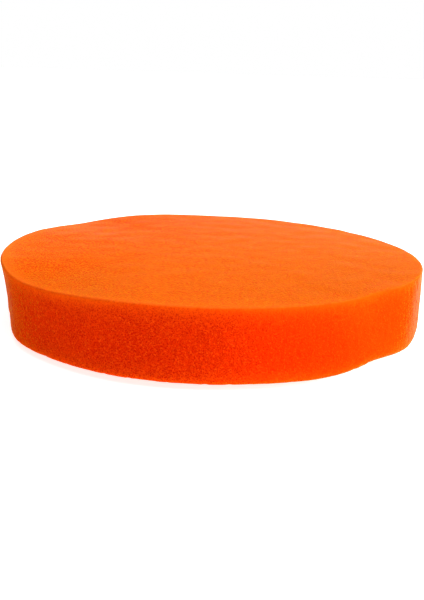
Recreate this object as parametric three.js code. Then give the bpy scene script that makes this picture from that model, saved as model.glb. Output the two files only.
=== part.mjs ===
// Flat foam polishing pad for a machine polisher, in millimetres, +Z up.
// The working face looks up. The loop backing looks down and its pile rests on the XY plane,
// with the origin at the centre of the pile's lower face.
import * as THREE from "three";

// Driving dimensions.
const padDiameter = 165; // foam disc, die-cut from sheet
const foamThickness = 25;
const foamEdgeRadius = 0.8; // the cut edge is crisp, with only a slight break
const loopDiameter = 150; // loop fabric, cut to suit a 150 mm backing plate
const pileThickness = 1.2; // brushed loops that the plate's hooks catch
const clothThickness = 0.6; // knitted ground that holds the loops
const filmThickness = 0.2; // hot-melt film between cloth and foam
const filmInset = 0.5; // the film stops just short of the cloth's edge
const pileInset = 0.4; // the outermost row of loops stands just inside the cloth's edge
const loopEdgeRadius = 0.25;

// Heights of the faces between the layers, from the floor up.
const clothBottom = pileThickness;
const filmBottom = clothBottom + clothThickness;
const foamBottom = filmBottom + filmThickness;
const foamTop = foamBottom + foamThickness;

const roundSegments = 128;
const edgeDivisions = 2; // an arc is drawn with twice this many straight steps
const quarterTurn = Math.PI / 2;

// A solid disc about +Z from one height to another, with its two rims rounded to edgeRadius.
function disc(radius, bottom, top, edgeRadius) {
  const rim = radius - edgeRadius;
  const profile = new THREE.Path();
  profile.moveTo(0, bottom);
  profile.lineTo(rim, bottom);
  profile.absarc(rim, bottom + edgeRadius, edgeRadius, -quarterTurn, 0, false);
  profile.absarc(rim, top - edgeRadius, edgeRadius, 0, quarterTurn, false);
  profile.lineTo(0, top);
  const geometry = new THREE.LatheGeometry(profile.getPoints(edgeDivisions), roundSegments);
  return geometry.rotateX(quarterTurn);
}

// A solid disc about +Z with square rims, for layers too thin to have a visible radius.
function flatDisc(radius, bottom, top) {
  const profile = [
    new THREE.Vector2(0, bottom),
    new THREE.Vector2(radius, bottom),
    new THREE.Vector2(radius, top),
    new THREE.Vector2(0, top),
  ];
  return new THREE.LatheGeometry(profile, roundSegments).rotateX(quarterTurn);
}

function piece(name, geometry, color, roughness) {
  const material = new THREE.MeshStandardMaterial({ color, roughness, metalness: 0 });
  const mesh = new THREE.Mesh(geometry, material);
  mesh.name = name;
  return mesh;
}

// Open-cell polyurethane foam, one colour all through.
function foamDisc() {
  const shape = disc(padDiameter / 2, foamBottom, foamTop, foamEdgeRadius);
  return piece("foam_disc", shape, "#fa6a1e", 0.95);
}

// Thin cured film that bonds the loop fabric to the foam's flat back.
function adhesiveFilm() {
  const shape = flatDisc(loopDiameter / 2 - filmInset, filmBottom, foamBottom);
  return piece("adhesive_film", shape, "#e3a35a", 0.45);
}

// Warp-knitted ground of the loop fabric.
function loopGroundCloth() {
  const shape = flatDisc(loopDiameter / 2, clothBottom, filmBottom);
  return piece("loop_ground_cloth", shape, "#c9531d", 0.9);
}

// Brushed loops standing out of the ground cloth, as the mat that the hooks press into.
function loopPile() {
  const shape = disc(loopDiameter / 2 - pileInset, 0, clothBottom, loopEdgeRadius);
  return piece("loop_pile", shape, "#e0703a", 0.85);
}

const pad = new THREE.Group();
pad.add(foamDisc(), adhesiveFilm(), loopGroundCloth(), loopPile());

export default pad;
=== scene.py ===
"""A flat foam polishing pad: orange open-cell foam with a loop-fabric disc bonded to its back."""
import math

import bpy
import numpy as np
from mathutils import Matrix, Vector, noise


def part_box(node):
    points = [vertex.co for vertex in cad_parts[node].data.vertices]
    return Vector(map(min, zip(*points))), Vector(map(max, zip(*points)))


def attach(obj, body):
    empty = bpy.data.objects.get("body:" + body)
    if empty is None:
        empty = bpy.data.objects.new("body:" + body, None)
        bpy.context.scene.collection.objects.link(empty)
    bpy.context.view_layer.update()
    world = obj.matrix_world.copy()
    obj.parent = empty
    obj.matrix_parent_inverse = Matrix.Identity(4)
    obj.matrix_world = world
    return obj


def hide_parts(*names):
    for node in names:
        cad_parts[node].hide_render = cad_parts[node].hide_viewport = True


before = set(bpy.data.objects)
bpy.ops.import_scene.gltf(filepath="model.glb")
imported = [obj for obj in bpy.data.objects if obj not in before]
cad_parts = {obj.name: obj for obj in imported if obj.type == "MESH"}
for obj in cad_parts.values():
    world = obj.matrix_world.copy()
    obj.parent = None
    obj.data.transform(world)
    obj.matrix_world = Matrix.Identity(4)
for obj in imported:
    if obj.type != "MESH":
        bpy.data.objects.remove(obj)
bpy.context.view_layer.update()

MM = 0.001
foam_low, foam_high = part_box("foam_disc")
RADIUS = (foam_high.x - foam_low.x) / 2
FOAM_TOP = foam_high.z
FOAM_BOTTOM = foam_low.z


# ---------------------------------------------------------------- camera

LENS_MM = 50
CAMERA_DISTANCE = 4 * RADIUS  # from the centre of the working face
CAMERA_ELEVATION = math.radians(12.0)
CAMERA_ROLL = math.radians(1.75)
AIM_ASIDE = 1.8 * MM  # how far from the axis the camera looks, towards +X
AIM_BELOW_TOP = 20.3 * MM


def make_camera():
    """The camera looks slightly down on the pad from the front, with its right side a little low."""
    top_centre = Vector((0, 0, FOAM_TOP))
    back = Vector((0, -math.cos(CAMERA_ELEVATION), math.sin(CAMERA_ELEVATION)))
    data = bpy.data.cameras.new("camera")
    data.lens = LENS_MM
    camera = bpy.data.objects.new("camera", data)
    bpy.context.scene.collection.objects.link(camera)
    camera.location = top_centre + CAMERA_DISTANCE * back
    aim = top_centre + Vector((AIM_ASIDE, 0, -AIM_BELOW_TOP))
    look = (aim - camera.location).to_track_quat("-Z", "Y").to_matrix()
    roll = Matrix.Rotation(CAMERA_ROLL, 3, "Z")
    camera.rotation_euler = (look @ roll).to_euler()
    bpy.context.scene.camera = camera


# ---------------------------------------------------------------- shape of the foam

class Swell:
    """A local unevenness of the foam's outline, fading smoothly to both sides of one direction.

    azimuth and spread are in degrees, anticlockwise from +X. The lengths are in millimetres:
    out moves the edge away from the axis, up raises it, and soften widens its rounding.
    """

    def __init__(self, azimuth, spread, out=0.0, up=0.0, soften=0.0):
        self.azimuth = math.radians(azimuth)
        self.spread = math.radians(spread)
        self.out = out * MM
        self.up = up * MM
        self.soften = soften * MM

    def weight(self, angle):
        away = (angle - self.azimuth + math.pi) % (2 * math.pi) - math.pi
        return np.exp(-((away / self.spread) ** 2))


# The rim of the working face.
RIM_SWELLS = [
    Swell(107, 12, out=0.5, up=0.4),  # slight crest at the back
    Swell(119, 9, out=0.3, up=0.2),  # its shoulder on the left
    Swell(138, 12, out=-0.8, up=-0.7),  # flattened stretch beside it
    Swell(188, 30, out=-2.5, up=-0.7),  # left side, pressed in
    Swell(229, 16, out=-0.9, up=-1.3),  # front left, drawn in and low
    Swell(214, 12, up=-0.9),  # lowest between these two
    Swell(314, 8, out=-1.9, up=0.3),  # shallow nick at the front right
    Swell(33, 35, out=-1.2, up=-0.3),  # back right, a little flat
    Swell(350, 18, out=0.15),  # right side, a trace fuller
]
# The lower edge of the side wall, added to the rim's.
FOOT_SWELLS = [
    Swell(197, 13, out=-3.0, soften=0.8),  # left side leans in
    Swell(314, 12, out=3.0, up=1.0, soften=3.0),  # steps out and lifts under the nick
    Swell(297, 13, out=0.8),  # and starts to step out beside it
    Swell(351, 11, up=0.1, soften=5.8),  # soft, rounded corner on the right
]
# The side wall halfway down, where the cut is hollow.
WAIST_SWELLS = [
    Swell(196, 22, out=-0.4),
]

RIM_ROUNDING = 0.8 * MM
FOOT_ROUNDING = 1.2 * MM
RIM_FADE = 3  # a raised rim settles back to the flat face as this power of the radius

GRID = 208  # cells across the working face, so four times as many segments round the wall
EDGE_STEPS = 5
WALL_STEPS = 40
UNDERSIDE_STEPS = 12
UNDERSIDE_INNER = 0.86  # share of the radius where the rings under the foam end


def total(swells, angle, quantity):
    return sum(getattr(s, quantity) * s.weight(angle) for s in swells)


def unit_disc_grid(cells):
    """Points of a square grid bent to a unit disc, their quads, and the rim's points in turn."""
    line = np.linspace(-1, 1, cells + 1)
    a, b = np.meshgrid(line, line, indexing="ij")
    wide = np.abs(a) > np.abs(b)
    safe_a = np.where(a == 0, 1, a)
    safe_b = np.where(b == 0, 1, b)
    angle = np.where(wide, math.pi / 4 * b / safe_a, math.pi / 2 - math.pi / 4 * a / safe_b)
    reach = np.where(wide, a, b)
    points = np.stack([reach * np.cos(angle), reach * np.sin(angle)], axis=-1).reshape(-1, 2)
    index = np.arange((cells + 1) ** 2).reshape(cells + 1, cells + 1)
    quads = np.stack([index[:-1, :-1], index[1:, :-1], index[1:, 1:], index[:-1, 1:]], axis=-1)
    rim = np.concatenate([index[:, 0][:-1], index[-1, :][:-1], index[::-1, -1][:-1], index[0, ::-1][:-1]])
    return points, quads.reshape(-1, 4), rim


def ring_quads(first, second):
    """The quads of a belt between two rings that have the same number of points."""
    after_first = np.roll(first, -1)
    after_second = np.roll(second, -1)
    return list(zip(first.tolist(), second.tolist(), after_second.tolist(), after_first.tolist()))


def foam_rings(angle):
    """The side of the foam from the top of the rim down and in under it, as (radius, height) per ring."""
    rim_out = total(RIM_SWELLS, angle, "out")
    rim_radius = RADIUS + rim_out
    rim_height = FOAM_TOP + total(RIM_SWELLS, angle, "up")
    foot_radius = rim_radius + total(FOOT_SWELLS, angle, "out")
    foot_height = FOAM_BOTTOM + total(FOOT_SWELLS, angle, "up")
    rounding = FOOT_ROUNDING + total(FOOT_SWELLS, angle, "soften")
    waist = total(WAIST_SWELLS, angle, "out")
    rings = []
    for step in range(1, EDGE_STEPS + 1):
        turn = math.pi / 2 * (1 - step / EDGE_STEPS)
        rings.append((rim_radius - RIM_ROUNDING * (1 - math.cos(turn)),
                      rim_height - RIM_ROUNDING * (1 - math.sin(turn))))
    wall_top = rim_height - RIM_ROUNDING
    wall_foot = foot_height + rounding
    for step in range(1, WALL_STEPS):
        share = step / WALL_STEPS
        rings.append((rim_radius + (foot_radius - rim_radius) * share + waist * math.sin(math.pi * share),
                      wall_top + (wall_foot - wall_top) * share))
    for step in range(EDGE_STEPS + 1):
        turn = math.pi / 2 * step / EDGE_STEPS
        rings.append((foot_radius - rounding * (1 - math.cos(turn)),
                      foot_height + rounding * (1 - math.sin(turn))))
    under_start = foot_radius - rounding
    for step in range(1, UNDERSIDE_STEPS + 1):
        share = step / UNDERSIDE_STEPS
        rings.append((under_start + (UNDERSIDE_INNER * RADIUS - under_start) * share,
                      foot_height + (FOAM_BOTTOM - foot_height) * share))
    return rings


def foam_surface():
    """Points and faces of the foam before its cells are cut into it."""
    flat, faces, rim = unit_disc_grid(GRID)
    angle = np.arctan2(flat[:, 1], flat[:, 0])
    reach = np.hypot(flat[:, 0], flat[:, 1])
    radius = (RADIUS + total(RIM_SWELLS, angle, "out") - RIM_ROUNDING) * reach
    height = FOAM_TOP + total(RIM_SWELLS, angle, "up") * reach ** RIM_FADE
    points = [np.stack([radius * np.cos(angle), radius * np.sin(angle), height], axis=-1)]
    faces = [tuple(face) for face in faces.tolist()]
    rim_angle = angle[rim]
    previous = rim
    count = len(flat)
    for ring_radius, ring_height in foam_rings(rim_angle):
        points.append(np.stack([ring_radius * np.cos(rim_angle), ring_radius * np.sin(rim_angle),
                                ring_height + 0 * rim_angle], axis=-1))
        ring = np.arange(count, count + len(rim))
        count += len(rim)
        faces += ring_quads(previous, ring)
        previous = ring
    points.append(np.array([[0, 0, FOAM_BOTTOM]]))
    faces += [(one, count, two) for one, two in zip(previous.tolist(), np.roll(previous, -1).tolist())]
    return np.concatenate(points), faces


CELL_RELIEF = 0.05 * MM  # how far the cut faces' small hollows and strut ends stand in and out
CELL_PITCH = 1.5 * MM
LUMP_RELIEF = 0.12 * MM
LUMP_PITCH = 9 * MM
PIT_DEPTH = 0.20 * MM  # here and there a larger cell lies open on the side wall
PIT_PITCH = 3.2 * MM
PIT_RADIUS = 0.32  # as a share of the pitch
PIT_BOWL = 0.5  # the power that makes a pit steep at its edge and round at its bottom
FACE_SMOOTHNESS = 0.7  # share of the small relief that the slicing takes off the working face


def cell_relief(point, upward):
    """How far the cut surface stands proud at a point. The working face is sliced smoother than the wall."""
    roughness = 1 - FACE_SMOOTHNESS * upward
    cells = noise.noise(point / CELL_PITCH)
    lumps = noise.noise(point / LUMP_PITCH)
    nearest = noise.voronoi(point / PIT_PITCH)[0][0]
    pit = max(0.0, 1 - nearest / PIT_RADIUS) ** PIT_BOWL * (1 - upward)
    return roughness * CELL_RELIEF * cells + LUMP_RELIEF * lumps - PIT_DEPTH * pit


def cut_cells(mesh):
    """Moves every point of the foam along its normal by the relief of the open cells."""
    places = np.empty(3 * len(mesh.vertices), dtype=np.float32)
    mesh.vertices.foreach_get("co", places)
    places = places.reshape(-1, 3)
    normals = np.array([tuple(each.vector) for each in mesh.vertex_normals])
    upward = np.clip(normals[:, 2], 0, 1)
    relief = [cell_relief(Vector(place), up) for place, up in zip(places, upward)]
    places += normals * np.array(relief)[:, None]
    places[:, 2] = np.maximum(places[:, 2], FOAM_BOTTOM)  # the back is pressed flat on the glue
    mesh.vertices.foreach_set("co", places.ravel())
    mesh.update()


def make_piece(mesh, node, material):
    """An object for a mesh, in place of one CAD node."""
    mesh.polygons.foreach_set("use_smooth", np.ones(len(mesh.polygons), dtype=bool))
    mesh.materials.append(material)
    piece = bpy.data.objects.new(mesh.name, mesh)
    bpy.context.scene.collection.objects.link(piece)
    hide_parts(node)
    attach(piece, "root")
    return piece


def make_foam():
    points, faces = foam_surface()
    mesh = bpy.data.meshes.new("foam_pad")
    mesh.from_pydata(points.tolist(), [], faces)
    mesh.update()
    cut_cells(mesh)
    foam = make_piece(mesh, "foam_disc", foam_material())


# ---------------------------------------------------------------- backing

EDGE_UNEVENNESS = 0.25 * MM
EDGE_PITCH = 2.5 * MM
FILM_BULGE = 0.05 * MM
CLOTH_BULGE = 0.12 * MM
BACKING_GRID = 150  # cells across each thin disc


def thin_disc(name, node, bulge):
    """A thin closed disc in a CAD node's place, with a slightly uneven edge that bulges halfway up."""
    low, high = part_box(node)
    flat, faces, rim = unit_disc_grid(BACKING_GRID)
    angle = np.arctan2(flat[:, 1], flat[:, 0])
    radius = high.x - bulge - EDGE_UNEVENNESS
    edge = [Vector((radius * math.cos(each), radius * math.sin(each), high.z)) for each in angle]
    outline = radius + EDGE_UNEVENNESS * np.array([noise.noise(each / EDGE_PITCH) for each in edge])
    across = flat * outline[:, None]
    upper = np.column_stack([across, np.full(len(flat), high.z)])
    lower = np.column_stack([across, np.full(len(flat), low.z)])
    halfway = np.full(len(rim), (low.z + high.z) / 2)
    middle = np.column_stack([across[rim] * (1 + bulge / radius), halfway])
    below = len(flat)
    belt = 2 * len(flat) + np.arange(len(rim))
    quads = [tuple(face) for face in faces.tolist()]
    quads += [tuple(below + point for point in reversed(face)) for face in faces.tolist()]
    quads += ring_quads(rim, belt)
    quads += ring_quads(belt, below + rim)
    mesh = bpy.data.meshes.new(name)
    mesh.from_pydata(np.concatenate([upper, lower, middle]).tolist(), [], quads)
    mesh.update()
    return mesh


def make_film():
    """Hot-melt glue, pressed out a little unevenly at its edge."""
    mesh = thin_disc("glue_film", "adhesive_film", bulge=FILM_BULGE)
    make_piece(mesh, "adhesive_film", film_material())


def make_cloth():
    mesh = thin_disc("ground_cloth", "loop_ground_cloth", bulge=CLOTH_BULGE)
    return make_piece(mesh, "loop_ground_cloth", cloth_material())


WALE_PITCH = 1.8 * MM  # from one line of loops to the next
COURSE_PITCH = 2.0 * MM  # from loop to loop along a line
LOOP_WIDTH = 1.3 * MM
LOOP_LEAN = 0.5 * MM
LOOP_TURN = 0.5  # radians that a loop may be turned out of its line
LOOP_STRAY = 0.2  # how far a loop may stand off its spot, as a share of the wale pitch
LOOP_NARROWEST = 0.7  # the least width of a loop, as a share of the widest
LOOP_SHORTEST = 0.8  # the least height of a loop, as a share of the tallest
FULL_LOOPS = 8  # the first loops, one in this many, touch what the pad lies on; they stand on the -X side
LOOP_SEED = 3
YARN_RADIUS = 0.13 * MM
YARN_SIDES = 3
LOOP_STEPS = 6
LOOP_ROOT = 0.05 * MM  # how far the feet of a loop reach into the ground cloth


def loop_places(random, reach):
    """Where the loops stand: in lines, every second one shifted, each loop a bit off its spot."""
    lines = np.arange(-reach, reach, WALE_PITCH)
    steps = np.arange(-reach, reach, COURSE_PITCH)
    x, y = np.meshgrid(lines, steps, indexing="ij")
    y = y + COURSE_PITCH / 2 * (np.arange(len(lines)) % 2)[:, None]
    places = np.stack([x.ravel(), y.ravel()], axis=-1)
    places += random.uniform(-LOOP_STRAY, LOOP_STRAY, places.shape) * WALE_PITCH
    return places[np.hypot(places[:, 0], places[:, 1]) < reach]


def loop_paths(random, places, low_z, high_z):
    """The middle line of every loop's yarn, and the direction square to its plane."""
    count = len(places)
    turn = random.uniform(-LOOP_TURN, LOOP_TURN, count)
    along = np.stack([np.sin(turn), np.cos(turn), 0 * turn], axis=-1)
    aside = np.stack([np.cos(turn), -np.sin(turn), 0 * turn], axis=-1)
    half = LOOP_WIDTH / 2 * random.uniform(LOOP_NARROWEST, 1.0, count) - YARN_RADIUS
    lean = random.uniform(-LOOP_LEAN, LOOP_LEAN, count)
    full_depth = high_z - low_z - YARN_RADIUS
    depth = full_depth * random.uniform(LOOP_SHORTEST, 1.0, count)
    depth[:count // FULL_LOOPS] = full_depth
    path = []
    for step in range(LOOP_STEPS + 1):
        share = math.pi * step / LOOP_STEPS
        level = high_z + LOOP_ROOT - (depth + LOOP_ROOT) * math.sin(share)
        path.append(np.column_stack([places, level]) - along * (half * math.cos(share))[:, None]
                    + aside * (lean * math.sin(share))[:, None])
    return np.stack(path, axis=1), aside


def yarn_faces(count):
    """The faces of that many closed yarns, whose points come ring by ring and yarn by yarn."""
    faces = []
    for loop in range(count):
        start = loop * (LOOP_STEPS + 1) * YARN_SIDES
        end = start + LOOP_STEPS * YARN_SIDES
        for here in range(start, end, YARN_SIDES):
            for side in range(YARN_SIDES):
                after = (side + 1) % YARN_SIDES
                there = here + YARN_SIDES
                faces.append((here + side, here + after, there + after, there + side))
        faces.append(tuple(start + side for side in reversed(range(YARN_SIDES))))
        faces.append(tuple(end + side for side in range(YARN_SIDES)))
    return faces


def make_pile():
    """The loops that the machine's hooks catch: each is a yarn that leaves the cloth, turns and goes back."""
    random = np.random.default_rng(LOOP_SEED)
    low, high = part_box("loop_pile")
    places = loop_places(random, high.x - LOOP_WIDTH / 2 - YARN_RADIUS)
    path, aside = loop_paths(random, places, low.z, high.z)
    tangent = np.gradient(path, axis=1)
    tangent /= np.linalg.norm(tangent, axis=2, keepdims=True)
    second = np.cross(tangent, aside[:, None, :])
    second /= np.linalg.norm(second, axis=2, keepdims=True)
    first = np.cross(second, tangent)
    rings = []
    for side in range(YARN_SIDES):
        way = 2 * math.pi * side / YARN_SIDES
        rings.append(path + YARN_RADIUS * (math.cos(way) * first + math.sin(way) * second))
    points = np.stack(rings, axis=2).reshape(-1, 3)
    points[:, 2] = np.clip(points[:, 2], low.z, high.z + LOOP_ROOT)
    mesh = bpy.data.meshes.new("pile_loops")
    mesh.from_pydata(points.tolist(), [], yarn_faces(len(places)))
    mesh.update()
    return make_piece(mesh, "loop_pile", pile_material())


def make_backing():
    make_film()
    cloth = make_cloth()
    pile = make_pile()


# ---------------------------------------------------------------- materials

class Graph:
    """A material's node tree, with short calls for the nodes that the materials here use."""

    def __init__(self, name):
        self.material = bpy.data.materials.new(name)
        self.material.use_nodes = True
        self.tree = self.material.node_tree
        self.shader = self.tree.nodes["Principled BSDF"]
        self.place = self.add("ShaderNodeTexCoord").outputs["Object"]

    def add(self, kind, inputs=(), **settings):
        made = self.tree.nodes.new(kind)
        for name, value in settings.items():
            setattr(made, name, value)
        for name, value in dict(inputs).items():
            self.set(made.inputs[name], value)
        return made

    def set(self, socket, value):
        """Links a socket to another node's output, or gives it a fixed value."""
        if isinstance(value, bpy.types.NodeSocket):
            self.tree.links.new(value, socket)
        else:
            socket.default_value = value

    def math(self, operation, first, second=0.0):
        return self.add("ShaderNodeMath", {0: first, 1: second}, operation=operation).outputs[0]

    def product(self, first, second):
        return self.math("MULTIPLY", first, second)

    def blend(self, share, first, second):
        """A colour from first, at share 0, to second, at share 1."""
        made = self.add("ShaderNodeMix", {"Factor": share, "A": first, "B": second}, data_type="RGBA")
        return made.outputs["Result"]

    def weigh(self, share, first, second):
        """A number from first, at share 0, to second, at share 1."""
        return self.add("ShaderNodeMix", {0: share, 2: first, 3: second}, data_type="FLOAT").outputs[0]

    def ramp(self, value, start, end, low=0.0, high=1.0):
        """low up to start, high past end, and a smooth rise between them."""
        sockets = {"Value": value, "From Min": start, "From Max": end, "To Min": low, "To Max": high}
        return self.add("ShaderNodeMapRange", sockets, interpolation_type="SMOOTHSTEP").outputs["Result"]

    def towards(self, place, azimuth):
        """How far a point lies from the axis in one direction across the pad."""
        along_x = self.product(place["X"], math.cos(azimuth))
        along_y = self.product(place["Y"], math.sin(azimuth))
        return self.math("ADD", along_x, along_y)

    def wave(self, along, pitch):
        """A smooth wave from 0 to 1 and back over each pitch."""
        swing = self.math("SINE", self.product(along, 2 * math.pi / pitch))
        return self.product(self.math("ADD", swing, 1.0), 0.5)

    def fade(self, distance, depth, start):
        """start at distance 0, falling by a factor of e over each depth, and never more than 1."""
        falling = self.math("EXPONENT", self.math("DIVIDE", distance, -depth))
        return self.math("MINIMUM", self.product(falling, start), 1.0)

    def cells(self, size):
        """A Voronoi texture with cells of about that size: its distance output is 0 at a cell's centre."""
        return self.add("ShaderNodeTexVoronoi", {"Vector": self.place, "Scale": 1 / size})

    def noise(self, size, detail):
        sockets = {"Vector": self.place, "Scale": 1 / size, "Detail": detail}
        return self.add("ShaderNodeTexNoise", sockets).outputs["Fac"]

    def bump(self, height, distance, strength=1.0):
        sockets = {"Height": height, "Distance": distance, "Strength": strength}
        self.set(self.shader.inputs["Normal"], self.add("ShaderNodeBump", sockets).outputs["Normal"])

    def finish(self, **inputs):
        for name, value in inputs.items():
            self.set(self.shader.inputs[name.replace("_", " ")], value)
        return self.material


# Painted light: the working face is coloured more orange than the side wall, as if lit from above, and the
# wall a deeper red, as if in shade.
FACE_COLOUR = (0.75, 0.030, 0.0002, 1)
SIDE_LIT_FACE_COLOUR = (0.79, 0.089, 0.0060, 1)  # painted light: the working face paler and more orange towards the side light at +X
LIP_GLOW_COLOUR = (1.00, 0.140, 0.0090, 1)  # painted light: the working face paler along its edge, for light through the rounded rim
WALL_COLOUR = (0.80, 0.032, 0.0004, 1)
GLOW_COLOUR = (1.00, 0.112, 0.0020, 1)  # near an edge, where light from the next face comes through
PORE_COLOUR = (0.56, 0.002, 0.0001, 1)
STRUT_COLOUR = (0.92, 0.076, 0.0040, 1)
FACE_STRUT_COLOUR = (0.88, 0.106, 0.0015, 1)

FACE_LEVELS = (0.4, 0.95)  # upward part of the normal where the wall's colour ends and the face's begins
SIDE_LIT_SLANT = 0.35  # the painted light runs towards +X, and by this share of it to the front
# Painted light: the glow colours are mixed in below the rim, above the foot and along the working face's
# edge.
WALL_GLOW = 1.0
WALL_GLOW_DEPTH = 2.6 * MM
FOOT_GLOW = 1.0
FOOT_GLOW_DEPTH = 2.0 * MM
LIP_GLOW = 1.1
LIP_DEPTH = 3.0 * MM
RIGHT_GLOW = 0.4  # share of the rim's glow that is left on the +X side
LOW_RIM_AZIMUTH = math.radians(220)  # where the swells leave the rim lowest
LOW_RIM_START = 0.82  # distance that way, as a share of the radius, where the rim starts to drop
LOW_RIM_DROP = 1.8 * MM
PRESSED_AZIMUTH = math.radians(193)  # where the swells press the rim in furthest
PRESSED_SPAN = (0.75, 0.96)  # distances that way, as shares of the radius, over which it moves in
PRESSED_DEPTH = 2.6 * MM

LARGE_CELL = 0.65 * MM
LARGE_PORE = (0.15, 0.60)  # where a pore is darkest and where it ends, as shares of its cell's size
LARGE_PORE_CHANCE = (0.2, 0.9)  # the random number below which a pore is faint, and above which it is full
FAINT_PORE = 0.3
SMALL_CELL = 0.5 * MM
SMALL_PORE = (0.15, 0.55)
SMALL_PORE_DEPTH = 0.8
STRUT_SIZE = 0.65 * MM
STRUT_LEVELS = (0.5, 0.72)
MOTTLE_SIZE = 1.4 * MM
MOTTLE_LEVELS = (0.35, 0.7)
MOTTLE_SHARE = 0.14
CLOUD_SIZE = 9 * MM
CLOUD_LEVELS = (0.35, 0.65)
CLOUD_GRAIN = 0.82  # share of the grain in the faintest clouds
SIDE_LIT_GRAIN_SLANT = 0.8  # painted light: the stretch of the wall where the pore shade is weaker, as the side light falls square on it, faces +X and by this share of it the front
SIDE_LIT_GRAIN_SPAN = (0.7, 1.2)  # distances that way, in radii, over which the pore shade weakens
SIDE_LIT_GRAIN = 0.4
BACK_GRAIN = 0.35  # share of the grain at the back of the working face
GLOW_GRAIN = 0.3  # share of the grain where the glow is full
GLOW_LEVELS = (0.1, 1.0)
GRAIN_DEPTH = 0.4 * MM
GRAIN_STRENGTH = 0.45

SCATTER_DEPTH = 3.0 * MM
PAINTED_SHEEN_COLOUR = (0.75, 0.50, 0.42, 1)  # painted sheen: a pale colour mixed into the foam where it is seen at a grazing angle
PAINTED_SHEEN = 3.3
PAINTED_SHEEN_POWER = 22
PAINTED_SHEEN_LIMIT = 0.065


def foam_skin(graph, place, face):
    """The foam's colour without its cells, with the painted light in it, and how strong the painted glow
    along the rim is.
    """
    across = graph.math("SQRT", graph.math("ADD", graph.product(place["X"], place["X"]),
                                           graph.product(place["Y"], place["Y"])))
    # Painted light: the working face grows paler towards +X, where the side light comes from.
    slant = graph.math("SUBTRACT", place["X"], graph.product(place["Y"], SIDE_LIT_SLANT))
    side_lit_face = graph.blend(graph.ramp(slant, -RADIUS, RADIUS), FACE_COLOUR, SIDE_LIT_FACE_COLOUR)
    # Painted light: the glow is weaker towards +X, where the side light reaches the wall directly.
    shown = graph.ramp(place["X"], 0.0, RADIUS, 1.0, RIGHT_GLOW)

    start, end = PRESSED_SPAN
    towards_pressed = graph.towards(place, PRESSED_AZIMUTH)
    pressed = graph.ramp(towards_pressed, start * RADIUS, end * RADIUS, 0.0, PRESSED_DEPTH)
    inside_rim = graph.math("SUBTRACT", graph.math("SUBTRACT", RADIUS, across), pressed)
    lip = graph.product(graph.fade(inside_rim, LIP_DEPTH, LIP_GLOW), shown)

    towards_low = graph.towards(place, LOW_RIM_AZIMUTH)
    drop = graph.ramp(towards_low, LOW_RIM_START * RADIUS, RADIUS, 0.0, LOW_RIM_DROP)
    below_rim = graph.math("SUBTRACT", graph.math("SUBTRACT", FOAM_TOP, place["Z"]), drop)
    wall_glow = graph.product(graph.fade(below_rim, WALL_GLOW_DEPTH, WALL_GLOW), shown)
    above_foot = graph.math("SUBTRACT", place["Z"], FOAM_BOTTOM)
    foot_glow = graph.fade(above_foot, FOOT_GLOW_DEPTH, FOOT_GLOW)

    wall = graph.blend(graph.math("MAXIMUM", wall_glow, foot_glow), WALL_COLOUR, GLOW_COLOUR)
    skin = graph.blend(face, wall, graph.blend(lip, side_lit_face, LIP_GLOW_COLOUR))
    return skin, graph.weigh(face, wall_glow, lip)


def foam_pores(graph):
    """1 in the middle of an open cell, 0 between the cells. The large cells are open by chance."""
    large = graph.cells(LARGE_CELL)
    chance = graph.add("ShaderNodeSeparateColor", {"Color": large.outputs["Color"]}).outputs["Red"]
    open_share = graph.ramp(chance, *LARGE_PORE_CHANCE, FAINT_PORE, 1.0)
    large_pore = graph.product(graph.ramp(large.outputs["Distance"], *LARGE_PORE, 1.0, 0.0), open_share)
    small = graph.cells(SMALL_CELL)
    small_pore = graph.ramp(small.outputs["Distance"], *SMALL_PORE, SMALL_PORE_DEPTH, 0.0)
    return graph.math("MAXIMUM", large_pore, small_pore)


def foam_grain(graph, place, face, glow):
    """How clearly the cells show: less on the wall towards +X, painted light where the side light falls
    square on it, and less where light fills the pores.
    """
    start, end = SIDE_LIT_GRAIN_SPAN
    corner = graph.math("SUBTRACT", place["X"], graph.product(place["Y"], SIDE_LIT_GRAIN_SLANT))
    wall_grain = graph.ramp(corner, start * RADIUS, end * RADIUS, 1.0, SIDE_LIT_GRAIN)
    face_grain = graph.ramp(place["Y"], -RADIUS, RADIUS, 1.0, BACK_GRAIN)
    cloudy = graph.ramp(graph.noise(CLOUD_SIZE, 3), *CLOUD_LEVELS, CLOUD_GRAIN, 1.0)
    share = graph.product(graph.weigh(face, wall_grain, face_grain), cloudy)
    return graph.product(share, graph.ramp(glow, *GLOW_LEVELS, 1.0, GLOW_GRAIN))


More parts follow.
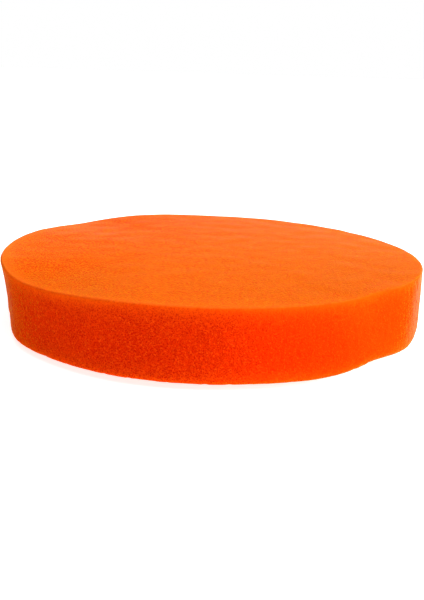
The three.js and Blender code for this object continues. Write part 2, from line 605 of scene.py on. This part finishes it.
def foam_material():
    """Open cells cut through: dark pores between lighter struts, on the working face and the wall. The pores'
    darkness is painted shade in the open cells.
    """
    graph = Graph("foam")
    place = graph.add("ShaderNodeSeparateXYZ", {"Vector": graph.place}).outputs
    normal = graph.add("ShaderNodeTexCoord").outputs["Normal"]
    upward = graph.add("ShaderNodeSeparateXYZ", {"Vector": normal}).outputs["Z"]
    face = graph.ramp(upward, *FACE_LEVELS)
    skin, glow = foam_skin(graph, place, face)
    share = foam_grain(graph, place, face, glow)

    pores = foam_pores(graph)
    struts = graph.ramp(graph.noise(STRUT_SIZE, 1), *STRUT_LEVELS)
    mottle = graph.ramp(graph.noise(MOTTLE_SIZE, 1), *MOTTLE_LEVELS)
    # Painted light: the struts on the working face are more orange than those on the wall.
    strut = graph.blend(face, STRUT_COLOUR, FACE_STRUT_COLOUR)
    colour = graph.blend(graph.product(struts, share), skin, strut)
    # Painted shade: the open cells darker than the struts around them.
    colour = graph.blend(graph.product(pores, share), colour, PORE_COLOUR)
    colour = graph.blend(graph.product(mottle, MOTTLE_SHARE), colour, PORE_COLOUR)
    graph.bump(graph.product(graph.math("SUBTRACT", struts, pores), share), GRAIN_DEPTH, GRAIN_STRENGTH)

    # Painted sheen: the base colour turns pale where the surface is seen at a grazing angle.
    grazing = graph.add("ShaderNodeLayerWeight", {"Blend": 0.5}).outputs["Facing"]
    painted_sheen = graph.product(graph.math("POWER", grazing, PAINTED_SHEEN_POWER), PAINTED_SHEEN)
    colour = graph.blend(graph.math("MINIMUM", painted_sheen, PAINTED_SHEEN_LIMIT), colour, PAINTED_SHEEN_COLOUR)
    return graph.finish(Base_Color=colour, Roughness=0.95, Specular_IOR_Level=0.0,
                        Subsurface_Weight=0.6, Subsurface_Radius=(1.0, 0.5, 0.2),
                        Subsurface_Scale=SCATTER_DEPTH,
                        Sheen_Weight=0.85, Sheen_Roughness=0.15, Sheen_Tint=(1, 0.45, 0.01, 1))


FILM_THIN = (0.80, 0.42, 0.15, 1)
FILM_THICK = (0.58, 0.25, 0.07, 1)
FILM_STREAK = 4 * MM
FILM_LEVELS = (0.35, 0.65)  # of the streaks, from thin film to thick
FILM_GLOSS_LEVELS = (0.3, 0.7)
FILM_ROUGHNESS = (0.25, 0.5)
FILM_BUBBLE = 1.6 * MM
BUBBLE_SIZE = 0.25  # as a share of the bubbles' pitch
BUBBLE_HEIGHT = 0.5
FILM_RELIEF = 0.1 * MM


def film_material():
    """Amber hot melt, streaked where it was spread."""
    graph = Graph("glue")
    streaks = graph.noise(FILM_STREAK, 3)
    bubbles = graph.cells(FILM_BUBBLE).outputs["Distance"]
    colour = graph.blend(graph.ramp(streaks, *FILM_LEVELS), FILM_THIN, FILM_THICK)
    raised = graph.ramp(bubbles, 0.0, BUBBLE_SIZE, BUBBLE_HEIGHT, 0.0)
    graph.bump(graph.math("ADD", streaks, raised), FILM_RELIEF)
    roughness = graph.ramp(streaks, *FILM_GLOSS_LEVELS, *FILM_ROUGHNESS)
    return graph.finish(Base_Color=colour, Roughness=roughness,
                        Subsurface_Weight=0.4, Subsurface_Scale=1 * MM)


YARN_LIGHT = (0.85, 0.16, 0.02, 1)
# The darker yarn: in the pile the loops' own tone, in the knit also painted shade in its gaps.
YARN_DARK = (0.42, 0.045, 0.005, 1)
STITCH_WIDTH = 0.9 * MM
STITCH_LENGTH = 1.2 * MM
LINE_EDGE = 0.7  # level of the wave above which a line of stitches is at its full height
STITCH_EDGE = 0.6
STITCH_DIP = 0.4  # height left between two stitches of a line
FILAMENT = 0.12 * MM
CLOTH_FILAMENT_LEVELS = (0.2, 0.6)
CLOTH_FILAMENT_DARK = 0.5
CLOTH_FILAMENT_HEIGHT = 0.3
CLOTH_RELIEF = 0.15 * MM


def cloth_material():
    """Warp knit: lines of stitches with painted shade in the gaps between them, and loose filaments over
    both.
    """
    graph = Graph("knit")
    place = graph.add("ShaderNodeSeparateXYZ", {"Vector": graph.place}).outputs
    lines = graph.wave(place["X"], STITCH_WIDTH)
    shifted = graph.math("ADD", place["Y"], graph.product(lines, STITCH_LENGTH / 2))
    stitches = graph.wave(shifted, STITCH_LENGTH)
    knit = graph.product(graph.ramp(lines, 0.0, LINE_EDGE),
                         graph.ramp(stitches, 0.0, STITCH_EDGE, STITCH_DIP, 1.0))
    filaments = graph.noise(FILAMENT, 1)
    height = graph.math("ADD", knit, graph.product(filaments, CLOTH_FILAMENT_HEIGHT))
    tone = graph.ramp(filaments, *CLOTH_FILAMENT_LEVELS, CLOTH_FILAMENT_DARK, 1.0)
    # Painted shade: the yarn darker in the gaps between the lines of stitches and between stitches.
    colour = graph.blend(graph.product(knit, tone), YARN_DARK, YARN_LIGHT)
    graph.bump(height, CLOTH_RELIEF)
    return graph.finish(Base_Color=colour, Roughness=0.85, Specular_IOR_Level=0.2,
                        Sheen_Weight=0.3, Sheen_Roughness=0.4, Sheen_Tint=(1, 0.6, 0.4, 1))


TONE_SIZE = 3 * MM
TONE_LEVELS = (0.3, 0.7)
PILE_FILAMENT_LEVELS = (0.3, 0.65)
PILE_DARK = 0.6  # share of light yarn in the darkest loops and in the darkest filaments
PILE_RELIEF = 0.05 * MM


def pile_material():
    """Bundles of fine filaments, some loops paler than others."""
    graph = Graph("pile")
    tone = graph.ramp(graph.noise(TONE_SIZE, 2), *TONE_LEVELS, PILE_DARK, 1.0)
    filaments = graph.noise(FILAMENT, 1)
    fine_tone = graph.ramp(filaments, *PILE_FILAMENT_LEVELS, PILE_DARK, 1.0)
    colour = graph.blend(graph.product(tone, fine_tone), YARN_DARK, YARN_LIGHT)
    graph.bump(filaments, PILE_RELIEF)
    return graph.finish(Base_Color=colour, Roughness=0.75, Specular_IOR_Level=0.3,
                        Sheen_Weight=0.4, Sheen_Roughness=0.35, Sheen_Tint=(1, 0.65, 0.45, 1))


# ---------------------------------------------------------------- floor and light

TABLE_SIZE = 40  # metres across
TABLE_GLOW = 0.80
TABLE_COLOUR = (0.74, 0.74, 0.74, 1)
FILL_STRENGTH = 0.12
SOFTNESS = math.radians(50)  # apparent width of each soft light
SIDE_AZIMUTH = math.radians(7)  # anticlockwise from +X, so a little behind the pad's right side
SIDE_ELEVATION = math.radians(12)
SIDE_STRENGTH = 10.5
TOP_AZIMUTH = math.radians(-70)
TOP_ELEVATION = math.radians(75)
TOP_STRENGTH = 1.35


def make_floor():
    """A light table: a pale floor that glows evenly, so that the pad casts almost no shadow on it."""
    bpy.ops.mesh.primitive_plane_add(size=TABLE_SIZE)
    floor = bpy.context.object
    floor.name = "floor"
    graph = Graph("floor")
    floor.data.materials.append(graph.finish(Base_Color=TABLE_COLOUR, Roughness=0.8,
                                             Emission_Color=(1, 1, 1, 1), Emission_Strength=TABLE_GLOW))


def make_soft_light(name, azimuth, elevation, strength):
    data = bpy.data.lights.new(name, "SUN")
    data.energy = strength
    data.angle = SOFTNESS
    light = bpy.data.objects.new(name, data)
    bpy.context.scene.collection.objects.link(light)
    towards = Vector((math.cos(elevation) * math.cos(azimuth),
                      math.cos(elevation) * math.sin(azimuth), math.sin(elevation)))
    light.rotation_euler = towards.to_track_quat("Z", "Y").to_euler()


def make_world():
    """A dim even fill that is seen as a plain white background."""
    world = bpy.data.worlds.new("studio")
    bpy.context.scene.world = world
    world.use_nodes = True
    tree = world.node_tree
    background = tree.nodes["Background"]
    background.inputs["Color"].default_value = (1, 1, 1, 1)
    seen = tree.nodes.new("ShaderNodeLightPath").outputs["Is Camera Ray"]
    strength = tree.nodes.new("ShaderNodeMapRange")
    strength.inputs["To Min"].default_value = FILL_STRENGTH
    strength.inputs["To Max"].default_value = 1.0
    tree.links.new(seen, strength.inputs["Value"])
    tree.links.new(strength.outputs["Result"], background.inputs["Strength"])
    bpy.context.scene.view_settings.view_transform = "Standard"


make_camera()
make_foam()
make_backing()
make_floor()
make_soft_light("side_light", SIDE_AZIMUTH, SIDE_ELEVATION, SIDE_STRENGTH)
make_soft_light("top_light", TOP_AZIMUTH, TOP_ELEVATION, TOP_STRENGTH)
make_world()
